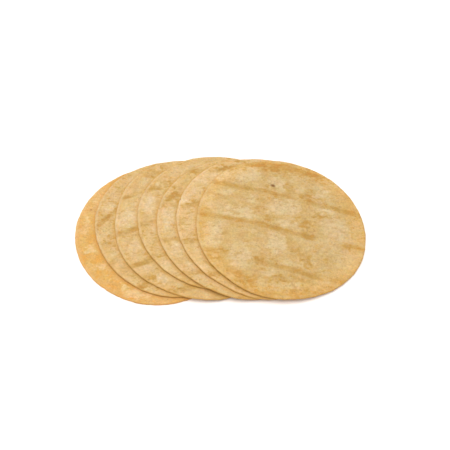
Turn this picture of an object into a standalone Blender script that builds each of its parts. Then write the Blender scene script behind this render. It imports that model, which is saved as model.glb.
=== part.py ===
"""A fanned stack of seven corn tortillas.

The lowest tortilla lies flat. Each next one lies a step further along +X, rests on the ones
below it and sags over their edges. All lengths are in metres, +Z is up, and the stack's
bounding box stands centred on the origin.
"""
import math

import bpy
from mathutils import Vector
from mathutils.geometry import delaunay_2d_cdt

MM = 0.001

THICKNESS = 1.7 * MM        # one tortilla
GAP = 0.3 * MM              # clear air between a tortilla and the one it lies on
EDGE_ROUNDING = 0.6 * MM    # how far the edge's two corners are set in from its widest line
SAG_START = 1.5 * MM        # a tortilla stays level this far past the edge it lies on
SAG_LENGTH = 22.0 * MM      # and comes down by one step over this length
LATTICE = 8.5 * MM          # spacing of the points inside each face
LATTICE_REACH = 160 * MM    # the lattice runs this far from the origin each way
EDGE_MARGIN = 4.7 * MM      # the points inside a face keep this far from its edge
EDGE_POINTS = 54            # points around each edge

# Each tortilla from the bottom up: its centre along X and Y and its radius, then how far its
# outline swells to two sides and the direction of one of them, the same for three sides, and the
# same for four. Lengths are in millimetres and directions in degrees from +X.
TORTILLAS = {
    "tortilla_1": (-52.6, -1.0, 74.7, 0.3, -42, 0.3, 35, 0.2, 7),
    "tortilla_2": (-36.0, 5.6, 74.6, 0.8, -34, 1.5, 31, 0.2, -39),
    "tortilla_3": (-19.7, 3.1, 74.6, 3.1, -50, 1.4, 24, 1.6, 31),
    "tortilla_4": (1.9, 9.6, 74.8, 0.5, -32, 0.6, 34, 0.3, -25),
    "tortilla_5": (20.1, 3.2, 75.2, 0.7, -48, 0.4, 37, 0.4, -8),
    "tortilla_6": (37.0, 3.7, 75.4, 0.7, -61, 0.5, 27, 0.2, -8),
    "tortilla_7": (53.2, 0.3, 74.7, 0.4, -67, 0.7, -22, 0.4, -39),
}

# The lowest tortilla shows its deeper yellow side, and the rest show their paler side.
DEEP_YELLOW = (0.80, 0.48, 0.17, 1.0)
PALE_YELLOW = (0.72, 0.47, 0.20, 1.0)


def outline(row, angle):
    """Distance from a tortilla's centre to its edge, in the direction angle."""
    _, _, radius, swell_2, turned_2, swell_3, turned_3, swell_4, turned_4 = row
    two = swell_2 * math.cos(2 * (angle - math.radians(turned_2)))
    three = swell_3 * math.cos(3 * (angle - math.radians(turned_3)))
    four = swell_4 * math.cos(4 * (angle - math.radians(turned_4)))
    return (radius + two + three + four) * MM


def past_edge(row, x, y):
    """How far the point is outside a tortilla's edge, negative inside it."""
    dx = x - row[0] * MM
    dy = y - row[1] * MM
    return math.hypot(dx, dy) - outline(row, math.atan2(dy, dx))


def lift(row, x, y):
    """How far one tortilla lifts whatever lies above it at this point."""
    t = (past_edge(row, x, y) - SAG_START) / SAG_LENGTH
    t = min(max(t, 0.0), 1.0)
    return (THICKNESS + GAP) * (1.0 - t * t * (3.0 - 2.0 * t))


def lattice_points():
    """Points of one triangular lattice, which all the tortillas share."""
    points = []
    row_step = LATTICE * math.sqrt(0.75)
    rows = round(LATTICE_REACH / row_step)
    columns = round(LATTICE_REACH / LATTICE)
    for j in range(-rows, rows + 1):
        for i in range(-columns, columns + 1):
            points.append(Vector(((i + 0.5 * (j % 2)) * LATTICE, j * row_step)))
    return points


def face_pattern(row):
    """A flat triangle pattern for one face, with its outermost loop of points first."""
    loop = []
    for i in range(EDGE_POINTS):
        angle = math.tau * i / EDGE_POINTS
        reach = outline(row, angle) - EDGE_ROUNDING
        x = row[0] * MM + reach * math.cos(angle)
        y = row[1] * MM + reach * math.sin(angle)
        loop.append(Vector((x, y)))
    inside = [p for p in lattice_points() if past_edge(row, p.x, p.y) < -EDGE_MARGIN]
    closed_loop = [(i, (i + 1) % EDGE_POINTS) for i in range(EDGE_POINTS)]
    result = delaunay_2d_cdt(loop + inside, closed_loop, [], 1, 1e-7)
    return result[0], result[2]


def edge_loop(row, height):
    """The widest line of the edge, at a height above the underside."""
    loop = []
    for i in range(EDGE_POINTS):
        angle = math.tau * i / EDGE_POINTS
        reach = outline(row, angle)
        loop.append((row[0] * MM + reach * math.cos(angle), row[1] * MM + reach * math.sin(angle), height))
    return loop


def make_tortilla(name, row, below, color):
    """One tortilla that lies on the ones in below."""
    flat, triangles = face_pattern(row)
    under = [(p.x, p.y, 0.0) for p in flat]
    over = [(p.x, p.y, THICKNESS) for p in flat]
    points = under + over + edge_loop(row, THICKNESS / 2)

    faces = []
    over_start = len(flat)
    edge_start = 2 * len(flat)
    for a, b, c in triangles:
        faces.append((a + over_start, b + over_start, c + over_start))
        faces.append((c, b, a))
    for i in range(EDGE_POINTS):
        j = (i + 1) % EDGE_POINTS
        faces.append((i, j, edge_start + j, edge_start + i))
        faces.append((edge_start + i, edge_start + j, over_start + j, over_start + i))

    bent = []
    for x, y, z in points:
        bent.append((x, y, z + sum(lift(other, x, y) for other in below)))

    mesh = bpy.data.meshes.new(name)
    mesh.from_pydata(bent, [], faces)
    mesh.shade_smooth()
    material = bpy.data.materials.new(name)
    material.use_nodes = True
    shader = material.node_tree.nodes["Principled BSDF"]
    shader.inputs["Base Color"].default_value = color
    shader.inputs["Roughness"].default_value = 0.75
    mesh.materials.append(material)
    tortilla = bpy.data.objects.new(name, mesh)
    bpy.context.scene.collection.objects.link(tortilla)
    return tortilla


def centre_on_origin(pieces):
    """Moves the points so that the bounding box of all the pieces is centred over the origin."""
    xs = [v.co.x for piece in pieces for v in piece.data.vertices]
    ys = [v.co.y for piece in pieces for v in piece.data.vertices]
    shift = Vector(((min(xs) + max(xs)) / 2, (min(ys) + max(ys)) / 2, 0.0))
    for piece in pieces:
        for vertex in piece.data.vertices:
            vertex.co -= shift
    print("centred by moving", [round(-s / MM, 3) for s in shift], "mm")


for old in list(bpy.data.objects):
    bpy.data.objects.remove(old)

stack = []
laid = []
for name, row in TORTILLAS.items():
    color = PALE_YELLOW if laid else DEEP_YELLOW
    stack.append(make_tortilla(name, row, laid, color))
    laid.append(row)
centre_on_origin(stack)
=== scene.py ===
# %% [markdown]
# # A fanned stack of corn tortillas
# Seven thin round flatbreads lie one on another, each a step further along, so that every one
# shows a crescent of its face and the top one shows all of it. They are soft: where one reaches
# past the edge of those below, it sags over them. Each has come off a slatted griddle belt, which
# leaves straight toasted stripes, and has a speckle of pores and bran in pale yellow dough.

# %% Open the fixed frame
import math

import bpy
import numpy as np
from mathutils.geometry import convex_hull_2d
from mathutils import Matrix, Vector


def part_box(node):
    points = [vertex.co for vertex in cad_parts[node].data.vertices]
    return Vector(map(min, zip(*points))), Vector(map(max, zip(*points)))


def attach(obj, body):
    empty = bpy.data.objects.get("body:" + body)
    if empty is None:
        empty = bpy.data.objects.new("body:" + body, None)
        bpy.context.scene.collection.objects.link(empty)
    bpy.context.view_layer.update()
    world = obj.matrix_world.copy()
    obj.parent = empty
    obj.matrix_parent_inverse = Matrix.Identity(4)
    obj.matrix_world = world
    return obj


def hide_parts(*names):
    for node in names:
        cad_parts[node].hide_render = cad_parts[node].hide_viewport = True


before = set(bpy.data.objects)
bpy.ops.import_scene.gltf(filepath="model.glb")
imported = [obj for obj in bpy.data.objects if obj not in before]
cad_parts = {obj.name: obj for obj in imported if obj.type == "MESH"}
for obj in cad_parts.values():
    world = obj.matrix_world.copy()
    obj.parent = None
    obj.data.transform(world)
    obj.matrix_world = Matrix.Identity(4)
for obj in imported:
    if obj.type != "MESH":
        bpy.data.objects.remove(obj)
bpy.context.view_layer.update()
MM = 0.001
NAMES = sorted(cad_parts)
print("solids:", NAMES)

# %% [markdown]
# ## Where each tortilla lies
# The solids already give every tortilla its place, its size and its slightly uneven outline, but
# with coarse flat facets. A fine mesh could be snapped onto those facets, which would keep them
# visible as flats. Here the outline is read off the solid's outermost points instead and kept as a
# radius with a few smooth waves, so a finer tortilla can be drawn along exactly the same line.

# %% Read the outlines
def wave_columns(angle):
    """The smooth waves around a circle, up to five swells."""
    columns = [np.ones_like(angle)]
    for swells in range(1, 6):
        columns += [np.cos(swells * angle), np.sin(swells * angle)]
    return np.stack(columns, axis=-1)


def read_outline(node):
    """Centre and wavy radius of one tortilla, from the outermost points of its solid."""
    points = [v.co.xy for v in node.data.vertices]
    rim = np.array([points[i] for i in convex_hull_2d(points)])
    centre = rim.mean(axis=0)
    away = rim - centre
    angle = np.arctan2(away[:, 1], away[:, 0])
    waves = np.linalg.lstsq(wave_columns(angle), np.hypot(*away.T), rcond=None)[0]
    return centre, waves


outlines = [read_outline(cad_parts[name]) for name in NAMES]
for name, (centre, waves) in zip(NAMES, outlines):
    print(name, "centre", (centre / MM).round(1), "radius", round(waves[0] / MM, 1), "mm")

# %% [markdown]
# ## How a soft disc sags
# A cloth simulation could drop the tortillas on each other, but it would not land them on the
# solids. The sag follows a plain rule instead: every tortilla below lifts the ones above by its
# thickness, all over itself and a little past its edge, and then lets them down again in a smooth
# S-curve. Adding up those lifts gives the height at which a tortilla rests at any point.

# %% Height of rest
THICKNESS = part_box("tortilla_1")[1][2]
STEP = (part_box("tortilla_7")[1][2] - THICKNESS) / (len(NAMES) - 1)
SAG_START = 1.5 * MM
SAG_LENGTH = 22 * MM


def smooth_step(t):
    t = np.clip(t, 0, 1)
    return t * t * (3 - 2 * t)


def past_edge(number, x, y):
    """How far points lie outside a tortilla's edge, negative inside it."""
    centre, waves = outlines[number]
    dx = x - centre[0]
    dy = y - centre[1]
    return np.hypot(dx, dy) - wave_columns(np.arctan2(dy, dx)) @ waves


def rest_height(number, x, y):
    """Height of a tortilla's underside."""
    height = np.zeros_like(x)
    for below in range(number):
        height += STEP * (1 - smooth_step((past_edge(below, x, y) - SAG_START) / SAG_LENGTH))
    return height


print("thickness", round(THICKNESS / MM, 2), "mm, step", round(STEP / MM, 2), "mm")

# %% [markdown]
# ## A net for a round flatbread
# Rings and spokes are the usual net for a disc, but they crowd at the middle and are coarse at the
# edge. A square net bent into a disc keeps its cells about the same size everywhere, which suits
# relief that runs over the whole face. The same net serves the face and the underside, and a few
# rings between them round the edge.

# %% Bend a square net into a disc
LINES = 160
NET_INSET = 1.1 * MM
# How far in from the edge each ring runs, from the face round to the underside.
EDGE_RINGS = [inset * MM for inset in (0.75, 0.45, 0.2, 0.05, 0.0, 0.05, 0.2, 0.45, 0.75)]


def round_net():
    """Distance from the middle (0 to 1) and direction of every point of the net."""
    line = np.linspace(-1, 1, LINES + 1)
    a, b = np.meshgrid(line, line)
    wide = np.abs(a) > np.abs(b)
    long = np.where(wide, a, b)
    short = np.where(wide, b, a)
    turn = np.pi / 4 * np.divide(short, long, out=np.zeros_like(long), where=long != 0)
    direction = np.where(wide, turn, np.pi / 2 - turn) + np.pi * (long < 0)
    return np.abs(long).ravel(), direction.ravel()


def net_faces():
    """The net's squares, wound so that they face up."""
    corner = (np.arange(LINES)[:, None] * (LINES + 1) + np.arange(LINES)).ravel()
    return np.stack([corner, corner + 1, corner + LINES + 2, corner + LINES + 1], axis=1)


def net_border():
    """The net's outermost points in order, anticlockwise."""
    index = np.arange((LINES + 1) ** 2).reshape(LINES + 1, LINES + 1)
    return np.concatenate([index[0, :-1], index[:-1, -1], index[-1, :0:-1], index[:0:-1, 0]])


def strip(lower, upper):
    """Squares between two loops of points, facing outwards."""
    return np.stack([lower, np.roll(lower, -1), np.roll(upper, -1), upper], axis=1)


reach, direction = round_net()
print("net of", len(reach), "points and", LINES * LINES, "squares")

# %% [markdown]
# ## The edge
# Dough is pressed flat and squeezes out to an edge that is never quite true: it is rounded over
# the last few millimetres, with a low bead round the upper side and small nicks. Some stretches
# curl up a little as they dry, and those leave a dark gap over the tortilla below. The nicks are a
# few sine waves with seeded starts, and each curl is a soft bump of height along the edge.

# %% Nicks, rounding and curls
# Waves around the edge, and the size of each in millimetres.
NICK_WAVES = {6: 0.06, 9: 0.06, 13: 0.06, 21: 0.07, 34: 0.07, 55: 0.06, 88: 0.05}
ROUNDING = 2.2 * MM
FULLNESS = 2.6
BEAD_HEIGHT = 0.20 * MM
BEAD_INSET = 2.0 * MM
BEAD_WIDTH = 1.1 * MM
CURL_DEPTH = 13 * MM
# Curled stretches: direction and spread in degrees, rise in millimetres.
CURLS = {
    "tortilla_2": [(212, 30, 0.6)],
    "tortilla_3": [(222, 26, 0.6), (172, 16, 0.3)],
    "tortilla_4": [(216, 28, 0.6)],
    "tortilla_5": [(234, 24, 1.0), (185, 20, 0.3)],
    "tortilla_6": [(218, 26, 0.6), (176, 14, 0.3)],
    "tortilla_7": [(226, 26, 0.9), (186, 16, 0.4), (270, 26, 1.1)],
}


def nicks(number, angle):
    """Small seeded unevenness of the edge."""
    random = np.random.default_rng(40 + number)
    uneven = np.zeros_like(angle)
    for waves, size in NICK_WAVES.items():
        uneven += size * MM * np.sin(waves * angle + random.uniform(0, math.tau))
    return uneven


def profile(side, inset):
    """Height above the mid plane, at a distance in from the edge. The upper side has the bead."""
    open_part = 1 - np.clip(inset / ROUNDING, 0, 1)
    bead = BEAD_HEIGHT * np.exp(-((inset - BEAD_INSET) / BEAD_WIDTH) ** 2) * (side > 0)
    return side * THICKNESS / 2 * (1 - open_part ** FULLNESS) ** (1 / FULLNESS) + bead


def curl(name, angle, inset):
    """How far the edge has curled up."""
    height = np.zeros_like(angle)
    for towards, width, rise in CURLS.get(name, []):
        off = (np.degrees(angle) - towards + 180) % 360 - 180
        height += rise * MM * np.exp(-(off / width) ** 2)
    return height * (1 - smooth_step(inset / CURL_DEPTH))


# %% [markdown]
# ## One tortilla's mesh
# The outline, the net and the height of rest now make one closed mesh: the face, the underside and
# the rings that join them. The finish will need to know where on the tortilla it is, and that is
# easiest to work out here, so it is kept with the points as attributes: how far in from the edge,
# whether on the upper side, how far clear of the tortillas above, where a strip of painted shade
# lies along the edge of the tortilla above, and how squarely the edge faces the light, which the
# finish uses to paint a highlight on that side and to keep painted shade off it.

# %% Draw one tortilla
# The side the light comes from, in degrees; the edge facing it gets a painted highlight.
LIGHT_SIDE_TOWARDS = 175
BARE_FADE = 3 * MM
# How far the strip of painted contact shade reaches under and past the edge of the tortilla above.
SHADE_STRIP_IN = 1.4 * MM
SHADE_STRIP_OUT = 4.0 * MM


def add_attribute(mesh, name, values):
    mesh.attributes.new(name, "FLOAT", "POINT").data.foreach_set("value", values.astype(np.float32))


def draw_tortilla(number):
    """A closed mesh of one tortilla, with its distances and its sides kept as attributes."""
    name = NAMES[number]
    centre, waves = outlines[number]
    border = net_border()
    # Half of an eased step draws the net's lines closer together towards the edge.
    grown = 0.5 * reach + 0.5 * np.sin(reach * np.pi / 2)
    ring_direction = np.tile(direction[border], len(EDGE_RINGS))
    ring_inset = np.repeat(EDGE_RINGS, len(border))
    middle_ring = len(EDGE_RINGS) // 2
    ring_side = np.repeat(np.sign(middle_ring - np.arange(len(EDGE_RINGS))), len(border))

    angle = np.concatenate([direction, direction, ring_direction])
    radius = wave_columns(angle) @ waves + nicks(number, angle)
    net_distance = np.tile(grown, 2) * (radius[: 2 * len(grown)] - NET_INSET)
    distance = np.concatenate([net_distance, radius[2 * len(grown):] - ring_inset])
    side = np.concatenate([np.ones_like(grown), -np.ones_like(grown), ring_side])
    inset = radius - distance

    x = centre[0] + distance * np.cos(angle)
    y = centre[1] + distance * np.sin(angle)
    z = rest_height(number, x, y) + THICKNESS / 2 + profile(side, inset) + curl(name, angle, inset)

    squares = net_faces()
    loops = [border + len(reach)]
    for i in reversed(range(len(EDGE_RINGS))):
        loops.append(2 * len(reach) + i * len(border) + np.arange(len(border)))
    loops.append(border)
    faces = [squares, squares[:, ::-1] + len(reach)]
    faces += [strip(low, high) for low, high in zip(loops, loops[1:])]

    mesh = bpy.data.meshes.new(name)
    mesh.from_pydata(np.stack([x, y, z], axis=1), [], np.concatenate(faces))
    mesh.shade_smooth()
    nearest = np.ones_like(x)
    for above in range(number + 1, len(NAMES)):
        nearest = np.minimum(nearest, past_edge(above, x, y))
    add_attribute(mesh, "inset", inset)
    add_attribute(mesh, "upper", (side > 0).astype(float))
    add_attribute(mesh, "bare", smooth_step(nearest / BARE_FADE))
    # Painted contact shade: a strip along the edge of each tortilla above.
    add_attribute(mesh, "painted_contact_shade", 1 - smooth_step((nearest + SHADE_STRIP_IN) / (SHADE_STRIP_IN + SHADE_STRIP_OUT)))
    # How squarely the edge faces the light, for its painted highlight and to keep painted shade off it.
    add_attribute(mesh, "light_facing", np.clip(np.cos(angle - math.radians(LIGHT_SIDE_TOWARDS)), 0, 1))
    return bpy.data.objects.new(f"{name}_baked", mesh)


pieces = [draw_tortilla(number) for number in range(len(NAMES))]
for piece in pieces:
    bpy.context.scene.collection.objects.link(piece)
print("drawn:", [len(piece.data.vertices) for piece in pieces], "points")

# %% [markdown]
# ## Toast patches placed one by one
# A griddle browns what touches it and leaves pale what a blister holds clear of it. Noise alone
# could scatter such patches, but then they would fall anywhere, so here they sit where this stack
# has them. Each is a soft ellipse, placed in millimetres from the tortilla's own centre: along X,
# along Y, half length, half width, turn in degrees, strength. Below zero it keeps a place pale.
# One patch on tortilla_6 is not toast but painted shade along the edge of the tortilla above.

# %% Toast patches
PATCHES = {
    "tortilla_1": [
        (-59, -23, 4, 4, 0, -2.0), (-46, -40, 3.5, 4, 0, -1.9), (-27, -60, 4, 3.5, 0, -1.8),
        (-66, 3, 4, 9, 0, -0.9), (-14, -66, 12, 5, 0, -1.4), (-41, -53, 3, 3, 0, -0.8),
        (-60, 30, 7, 15, -25, -0.5), (-63, -31, 3, 7, 0, 0.9), (-50, -47, 3, 4, 0, 1.1),
        (-58, -10, 4, 6, 0, 0.7), (-51, -32, 4, 5, 30, 0.9), (-36, -58, 6, 3, -35, 0.7),
        (-42, 54, 9, 5, 26, 0.3),
    ],
    "tortilla_2": [
        (-64.5, 13.5, 8, 7, 0, -0.7), (-65.5, -14.5, 5, 7, 0, -0.5), (-61.5, 32.5, 7, 7, 0, -0.3),
        (-36.5, -62.5, 6, 4, -42, -0.3), (-51.5, -33.5, 4, 5, 0, -0.4),
        (-42.5, 46.5, 8, 5, 0, -0.4),
    ],
    "tortilla_3": [
        (-63, 5, 8, 9, 0, -0.7), (-53, -25, 6, 8, 0, -0.5), (-39, -48, 5, 4, 0, -0.4),
        (-29, -59, 5, 4, 0, -0.7), (-16, -69, 7, 2, 17, 0.5), (-52, 20, 5, 9, 0, -0.3),
        (-51, 38, 8, 2, 10, 0.3), (-45, 56, 11, 6, 13, 0.4),
    ],
    "tortilla_4": [
        (-67, 12, 7, 12, 0, -0.7), (-64, -26, 4, 9, 0, -0.3), (-47, -51, 5, 4, 0, -0.4),
        (-35, -64, 9, 3, -33, 0.3), (-52, 39, 15, 2, 13, 0.35), (-54, 33, 5, 6, 0, -0.7),
        (-41, 52, 5, 5, 0, -0.5), (-21, 62, 13, 4, 3, 0.3),
    ],
    "tortilla_5": [
        (-66.5, 3, 8, 14, 0, -0.7), (-56.5, -32, 7, 8, 0, -0.6), (-63.5, 25, 10, 5, 25, 0.9),
        (-43.5, -49, 8, 6, -34, -0.5), (-59.5, 34, 5, 6, 0, 0.5),
    ],
    "tortilla_6": [
        # The patch at (-43.5, -49) is painted shade: a brown strip along the edge of tortilla_7 above.
        (-66.5, 19, 7, 2, 10, -0.5), (-62.5, -7, 5, 9, 0, -0.3), (-43.5, -49, 7, 3, -45, 0.9),
        (-56.5, 47, 9, 9, 0, -0.6), (-29.5, 59, 14, 3, 22, 0.7), (-41.5, 50, 7, 6, 0, -0.4),
    ],
    "tortilla_7": [
        (-49, 49, 9, 7, 2, -0.8), (-29, 56, 13, 13, 6, -0.9), (-2, 42, 8, 9, 4, -0.7),
        (16, 55, 5, 7, 5, -0.7), (20, 37, 5, 6, 4, -0.5), (42, 38, 9, 12, 6, -0.8),
        (-63, 23, 6, 12, 0, -0.6), (-50, 31, 9, 3, -10, -0.5), (-26, 25, 7, 6, -7, -0.7),
        (-37, 8, 15, 8, -24, -1), (4, 17, 18, 9, 11, -1), (40, 15, 10, 3, -6, -0.7),
        (5, -3, 12, 4, -14, -0.7), (-59, -15, 9, 14, 0, -0.7), (-22, -12, 6, 5, 5, -0.6),
        (-4, -22, 9, 12, 3, -0.9), (48, -4, 12, 13, 5, -0.7), (45, -27, 18, 18, 5, -0.4),
        (-36, -38, 9, 12, 3, -0.8), (3, -42, 5, 4, 4, -0.6), (15, -43, 4, 5, 4, -0.5),
        (6, -63, 7, 4, 3, -0.6), (34, -58, 6, 4, 4, -0.5), (-13, -51, 7, 5, 3, -0.4),
        (-14, 64, 20, 4, -9, 0.75), (21, 59, 13, 5, 1, 0.75), (37, 53, 10, 5, -43, 0.62),
        (26, 32, 6, 8, 5, 0.95), (9, 40, 3, 7, 6, 0.62), (21, -1, 8, 3, 5, 0.95),
        (23, -13, 5, 5, 5, 0.75), (19, -38, 5, 8, 4, 0.95), (-21, -41, 4, 4, 6, 0.75),
        (0, -57, 14, 3, 4, 0.62), (-22, 12, 4, 6, -66, 0.62), (-11, 3, 4, 4, -44, 0.88),
        (-43, 24, 9, 2, 0, 0.5), (36, 9, 8, 2, 5, 0.88), (60, -23, 8, 2, 0, 0.75),
        (11, -30, 5, 4, 5, 0.62), (-7.5, 38, 3, 2, 20, 0.95), (-35, 62, 14, 4, 12, 0.62),
        (-5, 66, 22, 5, -5, 0.5), (45, 42, 12, 4, -50, 0.5), (10, -70, 30, 4, 3, 0.5),
        (-30, -62, 18, 5, -28, 0.5), (-2, 61, 42, 8, -3, 0.35),
    ],
}

# Scorched specks, in the same order.
SPECKS = {
    "tortilla_1": [
        (-63.5, 21, 1.4, 1.0, -30, 0.7),
    ],
    "tortilla_5": [
        (-43, -53, 1.6, 0.9, 20, 0.6),
    ],
    "tortilla_6": [
        (-72.5, 21, 1.0, 2.2, 10, 0.8),
    ],
    "tortilla_7": [
        (-5, 40.8, 2.7, 2.0, -25, 1.0), (-36, -48.5, 1.2, 1.0, 0, 0.5),
        (30, -40, 1.0, 1.3, 0, 0.5),
    ],
}

# Where a blister held the dough clear of the slats, in the same order. There are no stripes here.
UNPRESSED = {
    "tortilla_2": [
        (-65.5, -12.5, 12, 6, 0, 1.0), (-44.5, -40.5, 12, 10, 0, 0.6),
        (-19.5, 61.5, 45, 22, 0, 1.0),
    ],
    "tortilla_3": [
        (-46, 44, 28, 14, 10, 0.85),
    ],
    "tortilla_4": [
        (-48, 42, 24, 12, 13, 0.6),
    ],
    "tortilla_6": [
        (-59.5, 50, 20, 14, 0, 0.6),
    ],
    "tortilla_7": [
        (2, 24, 22, 5, -13, 0.75), (42, -19, 15, 5, -13, 0.9), (-38, -38, 20, 7, -13, 0.95),
        (36, -54, 8, 5, -13, 0.4), (0, 66, 60, 6, -13, 0.5), (-62, 6, 6, 5, 0, 0.3),
    ],
}


# %% Draw the patches
RIPPLES = 14


def ripple(x, y, length, seed):
    """Smooth seeded unevenness around zero, with waves about as long as length."""
    random = np.random.default_rng(seed)
    total = np.zeros_like(x)
    for _ in range(RIPPLES):
        turn = random.uniform(0, math.tau)
        waves = math.tau / (length * random.uniform(0.6, 1.6))
        along = x * math.cos(turn) + y * math.sin(turn)
        total += np.sin(waves * along + random.uniform(0, math.tau))
    return total / math.sqrt(RIPPLES / 2)


def ragged(place, x, y, seed):
    """Shifts one coordinate a millimetre or two each way, so that soft borders come out ragged."""
    return place + 1.3 * ripple(x, y, 9, seed) + 0.8 * ripple(x, y, 4, seed + 20)


def ellipses(rows, x, y, fall):
    """Sum of soft ellipses. A higher fall makes their borders crisper."""
    total = np.zeros_like(x)
    for along, across, length, width, turn, strength in rows:
        turn = math.radians(turn)
        u = ((x - along) * math.cos(turn) + (y - across) * math.sin(turn)) / length
        v = ((y - across) * math.cos(turn) - (x - along) * math.sin(turn)) / width
        total += strength * np.exp(-(u * u + v * v) ** fall)
    return total


for number, (piece, name) in enumerate(zip(pieces, NAMES)):
    points = np.empty(len(piece.data.vertices) * 3)
    piece.data.vertices.foreach_get("co", points)
    x, y = points.reshape(-1, 3).T[:2] / MM - outlines[number][0][:, None] / MM
    uneven_x = ragged(x, x, y, number)
    uneven_y = ragged(y, x, y, number + 50)
    add_attribute(piece.data, "patches", ellipses(PATCHES[name], uneven_x, uneven_y, 2.2))
    add_attribute(piece.data, "specks", ellipses(SPECKS.get(name, []), x, y, 1))
    pressed = 1 - np.clip(ellipses(UNPRESSED.get(name, []), x, y, 2), 0, 1)
    add_attribute(piece.data, "pressed", pressed)
print("patches placed:", sum(len(rows) for rows in PATCHES.values()))

# %% [markdown]
# ## One way to build node trees
# Both the relief and the finishes are node trees, and writing each node out takes many lines. One
# small helper adds a node, sets its options and feeds its inputs, from a plain value or from
# another node's output.

# %% A helper for node trees
def put(tree, kind, feeds=None, out=0, **options):
    """Adds a node and returns one of its outputs. feeds maps an input to a value or an output."""
    node = tree.nodes.new(kind)
    for option, value in options.items():
        setattr(node, option, value)
    for key, value in (feeds or {}).items():
        if isinstance(value, bpy.types.NodeSocket):
            tree.links.new(value, node.inputs[key])
        else:
            node.inputs[key].default_value = value
    return node.outputs[out]


def calc(tree, operation, a, b=0.0):
    return put(tree, "ShaderNodeMath", {0: a, 1: b}, operation=operation)


def ramp(tree, value, low, high, to_low=0.0, to_high=1.0):
    """Carries value from low..high to to_low..to_high along an S-curve."""
    feeds = {"Value": value, "From Min": low, "From Max": high, "To Min": to_low, "To Max": to_high}
    return put(tree, "ShaderNodeMapRange", feeds, interpolation_type="SMOOTHSTEP")


def product(tree, first, second):
    """Multiplies two vectors or two colours."""
    return put(tree, "ShaderNodeVectorMath", {0: first, 1: second}, operation="MULTIPLY")


def cloud(tree, place, scale, seed, shift=0.0, detail=2.0, rough=0.5):
    """Soft random values around 0.5. Places are in metres, so a scale of 100 gives lumps about 10 mm
    wide. Each use has its own shift of the seed, so that no two look alike."""
    feeds = {"Vector": place, "W": calc(tree, "ADD", seed, shift), "Scale": scale, "Detail": detail,
             "Roughness": rough}
    return put(tree, "ShaderNodeTexNoise", feeds, noise_dimensions="4D")


# %% [markdown]
# ## Griddle relief
# The slats of the belt press straight grooves into the dough at even steps, blisters puff up
# between them, and the face is finely pitted. All three follow a rule on the face, so Geometry
# Nodes make them: the tree finds how far each point is from its nearest slat, moves the point up or
# down, and keeps the strength of toasting as an attribute for the finish to read.

# %% The relief tree
RELIEF_SIZES = {
    "Slat Spacing": 36.8 * MM,
    "Stripe Core": 1.2 * MM,
    "Stripe Reach": 3.6 * MM,
    "Sway": 6 * MM,
    "Groove Depth": 0.22 * MM,
    "Blister Height": 0.25 * MM,
    "Pit Depth": 0.10 * MM,
}
RELIEF_PLACES = ["Centre X", "Centre Y", "Slat Turn", "Slat Place", "Slat Press", "Seed"]


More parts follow.
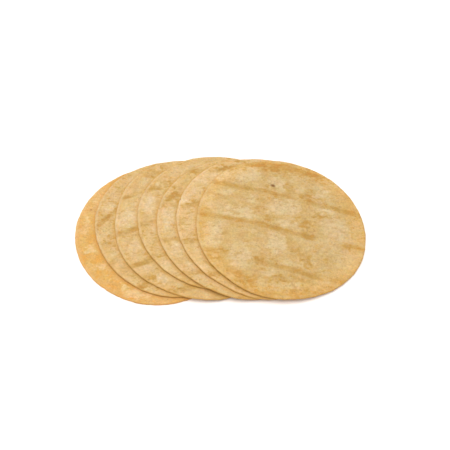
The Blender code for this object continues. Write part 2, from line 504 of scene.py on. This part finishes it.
def relief_tree():
    tree = bpy.data.node_groups.new("griddle_relief", "GeometryNodeTree")
    sockets = tree.interface
    sockets.new_socket("Geometry", in_out="INPUT", socket_type="NodeSocketGeometry")
    for name in [*RELIEF_PLACES, *RELIEF_SIZES]:
        sockets.new_socket(name, in_out="INPUT", socket_type="NodeSocketFloat")
    sockets.new_socket("Finish", in_out="INPUT", socket_type="NodeSocketMaterial")
    sockets.new_socket("Geometry", in_out="OUTPUT", socket_type="NodeSocketGeometry")
    given = tree.nodes.new("NodeGroupInput").outputs
    seed = given["Seed"]

    def attribute(name):
        return put(tree, "GeometryNodeInputNamedAttribute", {"Name": name}, data_type="FLOAT")

    # Across the slats: turned square to them, and swaying a little from side to side.
    centre = put(tree, "ShaderNodeCombineXYZ", {"X": given["Centre X"], "Y": given["Centre Y"]})
    place = put(tree, "ShaderNodeVectorMath", {0: put(tree, "GeometryNodeInputPosition"), 1: centre},
                operation="SUBTRACT")
    flat = product(tree, place, (1, 1, 0))
    turned = put(tree, "ShaderNodeVectorRotate",
                 {"Vector": flat, "Angle": calc(tree, "MULTIPLY", given["Slat Turn"], -1.0)},
                 rotation_type="Z_AXIS")
    across = put(tree, "ShaderNodeSeparateXYZ", {"Vector": turned}, out=1)
    sway = calc(tree, "SUBTRACT", cloud(tree, flat, 22.0, seed), 0.5)
    across = calc(tree, "ADD", across, calc(tree, "MULTIPLY", sway, given["Sway"]))
    across = calc(tree, "SUBTRACT", across, given["Slat Place"])
    nearest = calc(tree, "ROUND", calc(tree, "DIVIDE", across, given["Slat Spacing"]))
    off_slat = calc(tree, "SUBTRACT", across, calc(tree, "MULTIPLY", nearest, given["Slat Spacing"]))

    # A stripe wherever a slat touched, uneven along its length.
    line = ramp(tree, calc(tree, "ABSOLUTE", off_slat), given["Stripe Core"], given["Stripe Reach"], 1.0, 0.0)
    contact = ramp(tree, cloud(tree, flat, 26.0, seed, 7.0), 0.28, 0.46, 0.25, 1.0)
    contact = calc(tree, "MULTIPLY", contact, given["Slat Press"])
    contact = calc(tree, "MULTIPLY", contact, attribute("pressed"))
    stripe = calc(tree, "MULTIPLY", line, contact)

    # Blisters rise where no tortilla lies on top. Grooves and pits go down.
    puff = ramp(tree, cloud(tree, flat, 85.0, seed, 11.0, detail=1.0), 0.45, 0.75)
    up = calc(tree, "MULTIPLY", calc(tree, "MULTIPLY", puff, given["Blister Height"]), attribute("bare"))
    groove = calc(tree, "MULTIPLY", stripe, given["Groove Depth"])
    pits = ramp(tree, cloud(tree, flat, 420.0, seed, 5.0), 0.52, 0.68)
    down = calc(tree, "ADD", groove, calc(tree, "MULTIPLY", pits, given["Pit Depth"]))
    inner = ramp(tree, attribute("inset"), 0.3 * MM, 3.0 * MM)
    on_face = calc(tree, "MULTIPLY", attribute("upper"), inner)
    rise = calc(tree, "MULTIPLY", calc(tree, "SUBTRACT", up, down), on_face)
    offset = put(tree, "ShaderNodeCombineXYZ", {"Z": rise})

    moved = put(tree, "GeometryNodeSetPosition", {"Geometry": given["Geometry"], "Offset": offset})
    marked = put(tree, "GeometryNodeStoreNamedAttribute",
                 {"Geometry": moved, "Name": "stripe", "Value": stripe}, data_type="FLOAT", domain="POINT")
    real = put(tree, "GeometryNodeRealizeInstances", {"Geometry": marked})
    done = put(tree, "GeometryNodeSetMaterial", {"Geometry": real, "Material": given["Finish"]})
    tree.links.new(done, tree.nodes.new("NodeGroupOutput").inputs[0])
    return tree


griddle_relief = relief_tree()
print("relief tree of", len(griddle_relief.nodes), "nodes")

# %% [markdown]
# ## Dough that is seen close up
# Ground corn never mixes to one colour: it is cloudy over a finger's width, grainy at a millimetre,
# and has small pores and flecks of bran. Pressing draws its crumb out a little along one direction.
# Every tortilla needs this, so it is a shader node group with named sockets, which each finish
# places with its own seed.

# %% The dough group
DOUGH_VALUES = ["Cloud", "Curds", "Freckles", "Blush", "Grain", "Pores", "Bran", "Height"]
DRAWN_OUT = (0.72, 1.4, 1.0)


def dough_group():
    tree = bpy.data.node_groups.new("corn_dough", "ShaderNodeTree")
    tree.interface.new_socket("Place", in_out="INPUT", socket_type="NodeSocketVector")
    tree.interface.new_socket("Seed", in_out="INPUT", socket_type="NodeSocketFloat")
    for name in DOUGH_VALUES:
        tree.interface.new_socket(name, in_out="OUTPUT", socket_type="NodeSocketFloat")
    given = tree.nodes.new("NodeGroupInput").outputs
    result = tree.nodes.new("NodeGroupOutput").inputs
    place = given["Place"]
    seed = given["Seed"]
    drawn = product(tree, place, DRAWN_OUT)

    # Clouds and lumps of paler and deeper dough, and a faint change of hue.
    broad = calc(tree, "SUBTRACT", cloud(tree, place, 55.0, seed, detail=4.0, rough=0.60), 0.5)
    lumps = calc(tree, "SUBTRACT", cloud(tree, drawn, 190.0, seed, 4.0), 0.5)
    clouds = calc(tree, "ADD", calc(tree, "MULTIPLY", broad, 1.4), lumps)
    blush = cloud(tree, place, 130.0, seed, 13.0)

    # Crumbs, and the places where they toast to freckles.
    curds = cloud(tree, drawn, 260.0, seed, 6.0, detail=3.0, rough=0.55)
    where = ramp(tree, cloud(tree, place, 48.0, seed, 8.0, detail=3.0, rough=0.6), 0.42, 0.58)
    freckles = calc(tree, "MULTIPLY", ramp(tree, curds, 0.50, 0.62), where)
    fine = calc(tree, "MULTIPLY", cloud(tree, place, 580.0, seed, 2.0, detail=3.0, rough=0.7), 0.8)
    coarse = calc(tree, "MULTIPLY", curds, 0.35)
    grain = calc(tree, "SUBTRACT", calc(tree, "ADD", fine, coarse), 0.575)

    # Dots at the cells' centres: pores in some places, flecks of bran here and there.
    apart = put(tree, "ShaderNodeCombineXYZ", {"X": seed, "Y": seed})
    moved = put(tree, "ShaderNodeVectorMath", {0: place, 1: apart}, operation="ADD")
    dots = put(tree, "ShaderNodeTexVoronoi", {"Vector": moved, "Scale": 380.0}, feature="F1")
    few = ramp(tree, cloud(tree, place, 110.0, seed, 9.0), 0.42, 0.62)
    pores = calc(tree, "MULTIPLY", ramp(tree, dots, 0.10, 0.34, 1.0, 0.0), few)
    flakes = put(tree, "ShaderNodeTexVoronoi", {"Vector": moved, "Scale": 210.0}, feature="F1")
    bran = ramp(tree, flakes, 0.05, 0.14, 1.0, 0.0)
    height = calc(tree, "SUBTRACT", calc(tree, "MULTIPLY", grain, 0.6), calc(tree, "MULTIPLY", pores, 0.5))

    for name, value in zip(DOUGH_VALUES, (clouds, curds, freckles, blush, grain, pores, bran, height)):
        tree.links.new(value, result[name])
    return tree


corn_dough = dough_group()
print("dough group of", len(corn_dough.nodes), "nodes")

# %% [markdown]
# ## The finish of one tortilla
# The finish starts from pale and body colours, clouded together, and browns towards a toast colour
# where the slats touched and where a patch was placed. The crumb breaks up the toast, so that its
# border is ragged. Then come the edge's colours: a golden tint that fades inwards, a painted
# highlight as a thin pale lip on the side of the edge that faces the light, a browner wall that is
# partly the deeper colour of the underside and partly painted shade, kept off the side facing the
# light, and a strip of painted shade where a tortilla goes under the next one.

# %% Helpers for colours
def mix(tree, amount, first, second):
    """Blends two colours."""
    node = put(tree, "ShaderNodeMix", {0: amount}, data_type="RGBA").node
    for socket, value in ((node.inputs[6], first), (node.inputs[7], second)):
        if isinstance(value, bpy.types.NodeSocket):
            tree.links.new(value, socket)
        else:
            socket.default_value = value
    return node.outputs[2]


def tones(tree, value, stops):
    """Colour by value: stops maps a value to its colour."""
    node = put(tree, "ShaderNodeValToRGB", {0: value}).node
    scale = node.color_ramp.elements
    while len(scale) < len(stops):
        scale.new(0.5)
    for stop, (position, color) in zip(scale, stops.items()):
        stop.position = position
        stop.color = color
    return node.outputs[0]


def kept(tree, name):
    """Reads an attribute that the mesh carries."""
    return put(tree, "ShaderNodeAttribute", out=2, attribute_name=name)


# %% The finish
SCORCH = (0.200, 0.085, 0.020, 1)
GRAIN_SHADES = {0.2: (0.70, 0.69, 0.66, 1), 0.8: (1.30, 1.31, 1.35, 1)}
BLUSH_TINTS = {0.35: (0.982, 1.013, 0.985, 1), 0.65: (1.015, 0.986, 1.015, 1)}
PLAIN_TONE = 0.37
TOASTING = 0.33
CLOUDING = 0.55
FRECKLING = 0.30
RIM_START = 2.5 * MM
# Strength of the painted highlight, a pale lip on the edge facing the light.
HIGHLIGHT_STRENGTH = 0.35
# Strength of the wall colour on the rounded edge, partly the underside's colour and partly painted shade.
WALL_SHADE_STRENGTH = 0.7
# Strength of the painted contact shade along the edge of the tortilla above.
CONTACT_SHADE_STRENGTH = 0.75
FLECK_STRENGTH = 0.30


def toasted_dough(tree, dough, pale, body, toast, deep_toast):
    """Colour of the face: clouded dough, browned by slats and patches, with grain and blush."""
    crumbled = calc(tree, "MULTIPLY", kept(tree, "patches"), ramp(tree, dough["Curds"], 0.38, 0.60, 0.4, 1.5))
    worn = calc(tree, "MULTIPLY", kept(tree, "stripe"), ramp(tree, dough["Curds"], 0.32, 0.60, 0.65, 0.92))
    tone = calc(tree, "ADD", PLAIN_TONE, calc(tree, "MULTIPLY", calc(tree, "ADD", crumbled, worn), TOASTING))
    tone = calc(tree, "ADD", tone, calc(tree, "MULTIPLY", dough["Cloud"], CLOUDING))
    tone = calc(tree, "ADD", tone, calc(tree, "MULTIPLY", dough["Freckles"], FRECKLING))
    color = tones(tree, tone, {0.05: pale, 0.40: body, 0.72: toast, 1.0: deep_toast})
    color = product(tree, color, tones(tree, calc(tree, "ADD", dough["Grain"], 0.5), GRAIN_SHADES))
    return product(tree, color, tones(tree, dough["Blush"], BLUSH_TINTS))


def edged(tree, color, pale, rim, rim_width, wall_and_shade):
    """Adds the colours of the edge: the golden rim, a painted highlight on the side facing the light, the
    wall colour with painted shade, and painted contact shade under the tortilla above.
    """
    inset = kept(tree, "inset")
    light_facing = kept(tree, "light_facing")
    color = mix(tree, ramp(tree, inset, RIM_START, rim_width, 1.0, 0.0), color, product(tree, color, rim))
    # Painted highlight: the edge facing the light is mixed towards the pale colour.
    painted_highlight = calc(tree, "MULTIPLY", ramp(tree, inset, 1.6 * MM, 3.0 * MM, 1.0, 0.0),
                  calc(tree, "POWER", light_facing, 3.0))
    color = mix(tree, calc(tree, "MULTIPLY", painted_highlight, HIGHLIGHT_STRENGTH), color, pale)
    # Wall colour on the rounded edge: partly the deeper underside colour, partly painted shade, kept off the
    # side facing the light.
    wall_and_painted_shade = calc(tree, "MULTIPLY", ramp(tree, inset, 0.1 * MM, 1.1 * MM, WALL_SHADE_STRENGTH, 0.0),
                       calc(tree, "SUBTRACT", 1.0, calc(tree, "POWER", light_facing, 2.0)))
    color = mix(tree, wall_and_painted_shade, color, wall_and_shade)
    color = mix(tree, calc(tree, "SUBTRACT", 1.0, kept(tree, "upper")), color, wall_and_shade)
    # Painted contact shade along the edge of the tortilla above, in the wall colour.
    return mix(tree, calc(tree, "MULTIPLY", kept(tree, "painted_contact_shade"), CONTACT_SHADE_STRENGTH), color, wall_and_shade)


def baked_finish(name, seed, pale, body, toast, deep_toast, rim, rim_width, wall_and_shade):
    material = bpy.data.materials.new(name)
    material.use_nodes = True
    tree = material.node_tree
    shader = tree.nodes["Principled BSDF"]
    dough_node = put(tree, "ShaderNodeGroup", node_tree=corn_dough).node
    tree.links.new(put(tree, "ShaderNodeTexCoord", out=3), dough_node.inputs["Place"])
    dough_node.inputs["Seed"].default_value = seed
    dough = dough_node.outputs

    color = toasted_dough(tree, dough, pale, body, toast, deep_toast)
    color = edged(tree, color, pale, rim, rim_width, wall_and_shade)
    color = mix(tree, ramp(tree, kept(tree, "specks"), 0.15, 0.9), color, SCORCH)
    for flecks in (dough["Pores"], dough["Bran"]):
        color = mix(tree, calc(tree, "MULTIPLY", flecks, FLECK_STRENGTH), color, SCORCH)
    tree.links.new(color, shader.inputs["Base Color"])
    tree.links.new(ramp(tree, dough["Grain"], -0.3, 0.3, 0.62, 0.86), shader.inputs["Roughness"])
    bump = put(tree, "ShaderNodeBump", {"Height": dough["Height"], "Strength": 0.5, "Distance": 0.5 * MM})
    tree.links.new(bump, shader.inputs["Normal"])
    shader.inputs["Specular IOR Level"].default_value = 0.3
    shader.inputs["Subsurface Weight"].default_value = 0.3
    shader.inputs["Subsurface Radius"].default_value = (1.0, 0.5, 0.2)
    shader.inputs["Subsurface Scale"].default_value = 1.0 * MM
    return material


# %% [markdown]
# ## Seven bakes
# The lowest tortilla lies with its deeper yellow side up. The rest show the paler side, and the top
# one has a wide golden rim. Each was baked a little differently and lay on the belt at its own
# angle, so each has its own slat turn and place, and its own lightness.

# %% Colours of the sides
# The wall colour is darker than the deep side's own colour, partly as painted shade; it serves the edge, the
# underside and the strips of painted shade.
DEEP_SIDE = {
    "pale": (0.620, 0.415, 0.170, 1),
    "body": (0.565, 0.332, 0.088, 1),
    "toast": (0.565, 0.297, 0.057, 1),
    "deep_toast": (0.565, 0.297, 0.057, 1),
    "wall_and_shade": (0.530, 0.262, 0.052, 1),
    "rim": (1.02, 0.98, 0.98),
    "rim_width": 10 * MM,
}
PALE_SIDE = {
    "pale": (0.550, 0.405, 0.198, 1),
    "body": (0.500, 0.328, 0.114, 1),
    "toast": (0.420, 0.242, 0.051, 1),
    "deep_toast": (0.400, 0.205, 0.041, 1),
    "wall_and_shade": (0.520, 0.285, 0.055, 1),
    "rim": (1.03, 0.995, 0.92),
    "rim_width": 8 * MM,
}
TOP_SIDE = {**PALE_SIDE, "rim": (1.13, 1.06, 0.94), "rim_width": 20 * MM}
SIDES = {"tortilla_1": DEEP_SIDE, "tortilla_7": TOP_SIDE}
print("colours of a side:", list(PALE_SIDE))

# %% Bake each tortilla
# Slat turn in degrees, slat place in millimetres, how hard the slats pressed, how light the dough is.
BAKES = {
    "tortilla_1": (30, 60.5, 0.15, 1.00),
    "tortilla_2": (50, 14.3, 1.0, 1.07),
    "tortilla_3": (21.5, 13.0, 1.15, 1.07),
    "tortilla_4": (16, 9.6, 0.85, 1.07),
    "tortilla_5": (9, -11.2, 0.8, 1.07),
    "tortilla_6": (11.5, 25.5, 0.7, 1.12),
    "tortilla_7": (-13, -8.5, 1.0, 0.99),
}


def lightened(color, times):
    """Lightens a dough colour. Paler dough is also less yellow, so its blue rises fastest."""
    return (color[0] * times, color[1] * times ** 1.15, color[2] * times ** 2.4, 1)


def bake(piece, centre, slat_turn, slat_place, slat_press, seed, finish):
    """Runs the relief tree on a tortilla and keeps the result as a plain mesh."""
    places = [*centre, math.radians(slat_turn), slat_place * MM, slat_press, seed]
    values = {**dict(zip(RELIEF_PLACES, places)), **RELIEF_SIZES, "Finish": finish}
    relief = piece.modifiers.new("relief", "NODES")
    relief.node_group = griddle_relief
    for item in griddle_relief.interface.items_tree:
        if item.in_out == "INPUT" and item.name in values:
            relief[item.identifier] = values[item.name]
    result = piece.evaluated_get(bpy.context.evaluated_depsgraph_get())
    mesh = bpy.data.meshes.new_from_object(result)
    piece.modifiers.remove(relief)
    piece.data = mesh


for number, (piece, name) in enumerate(zip(pieces, NAMES)):
    seed = 3.0 + 1.7 * number
    turn, slat, press, lightness = BAKES[name]
    side = dict(SIDES.get(name, PALE_SIDE))
    for part in ("pale", "body"):
        side[part] = lightened(side[part], lightness)
    finish_name = f"pale_side_{number + 1}" if number else "deep_yellow_side"
    bake(piece, outlines[number][0], turn, slat, press, seed, baked_finish(finish_name, seed, **side))
    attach(piece, "root")
    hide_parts(name)
    heights = [v.co.z for v in piece.data.vertices]
    print(piece.name, "from", round(min(heights) / MM, 2), "to", round(max(heights) / MM, 2), "mm high")

# %% [markdown]
# ## Floor, light and camera
# The stack lies on a plain table of warm white, in soft cool light from all around, with one broad
# lamp nearly overhead, a little to the left. The lamp alone would leave hard dark gaps between the
# tortillas. Light from all around fills them to soft close shadows, darkest where two things touch.

# %% Floor
FLOOR_REACH = 3.0


def white_floor():
    corners = [(x * FLOOR_REACH, y * FLOOR_REACH, 0) for x, y in ((-1, -1), (1, -1), (1, 1), (-1, 1))]
    mesh = bpy.data.meshes.new("floor")
    mesh.from_pydata(corners, [], [(0, 1, 2, 3)])
    material = bpy.data.materials.new("white_table")
    material.use_nodes = True
    shader = material.node_tree.nodes["Principled BSDF"]
    shader.inputs["Base Color"].default_value = (0.97, 0.90, 0.79, 1)
    shader.inputs["Roughness"].default_value = 0.9
    shader.inputs["Specular IOR Level"].default_value = 0.0
    mesh.materials.append(material)
    floor = bpy.data.objects.new("floor", mesh)
    bpy.context.scene.collection.objects.link(floor)
    return floor


white_floor()

# %% Light
COOL_WHITE = (0.926, 0.926, 1)
world = bpy.data.worlds.new("studio")
bpy.context.scene.world = world
world.use_nodes = True
background = world.node_tree.nodes["Background"]
background.inputs["Color"].default_value = (*COOL_WHITE, 1)
background.inputs["Strength"].default_value = 0.756


def soft_box(name, place, size, power):
    """A square lamp that faces the stack."""
    lamp = bpy.data.lights.new(name, "AREA")
    lamp.size = size
    lamp.energy = power
    lamp.color = COOL_WHITE
    light = bpy.data.objects.new(name, lamp)
    light.location = place
    light.rotation_euler = (-light.location).to_track_quat("-Z", "Y").to_euler()
    bpy.context.scene.collection.objects.link(light)


soft_box("above", (-0.20, -0.05, 1.12), 1.1, 13.5)

# %% Camera
CAMERA_ELEVATION = math.radians(54.15)
CAMERA_DISTANCE = 0.586
CAMERA_NUDGE = -0.0037
camera_data = bpy.data.cameras.new("camera")
camera_data.lens = 53.0
camera_data.sensor_width = 36.0
camera_data.shift_x = 0.0111
camera_data.shift_y = 0.0111
camera = bpy.data.objects.new("camera", camera_data)
camera.location = (0.0, CAMERA_NUDGE - CAMERA_DISTANCE * math.cos(CAMERA_ELEVATION),
                   CAMERA_DISTANCE * math.sin(CAMERA_ELEVATION))
camera.rotation_euler = (math.pi / 2 - CAMERA_ELEVATION, 0, 0)
bpy.context.scene.collection.objects.link(camera)
bpy.context.scene.camera = camera
bpy.context.scene.view_settings.view_transform = "Standard"
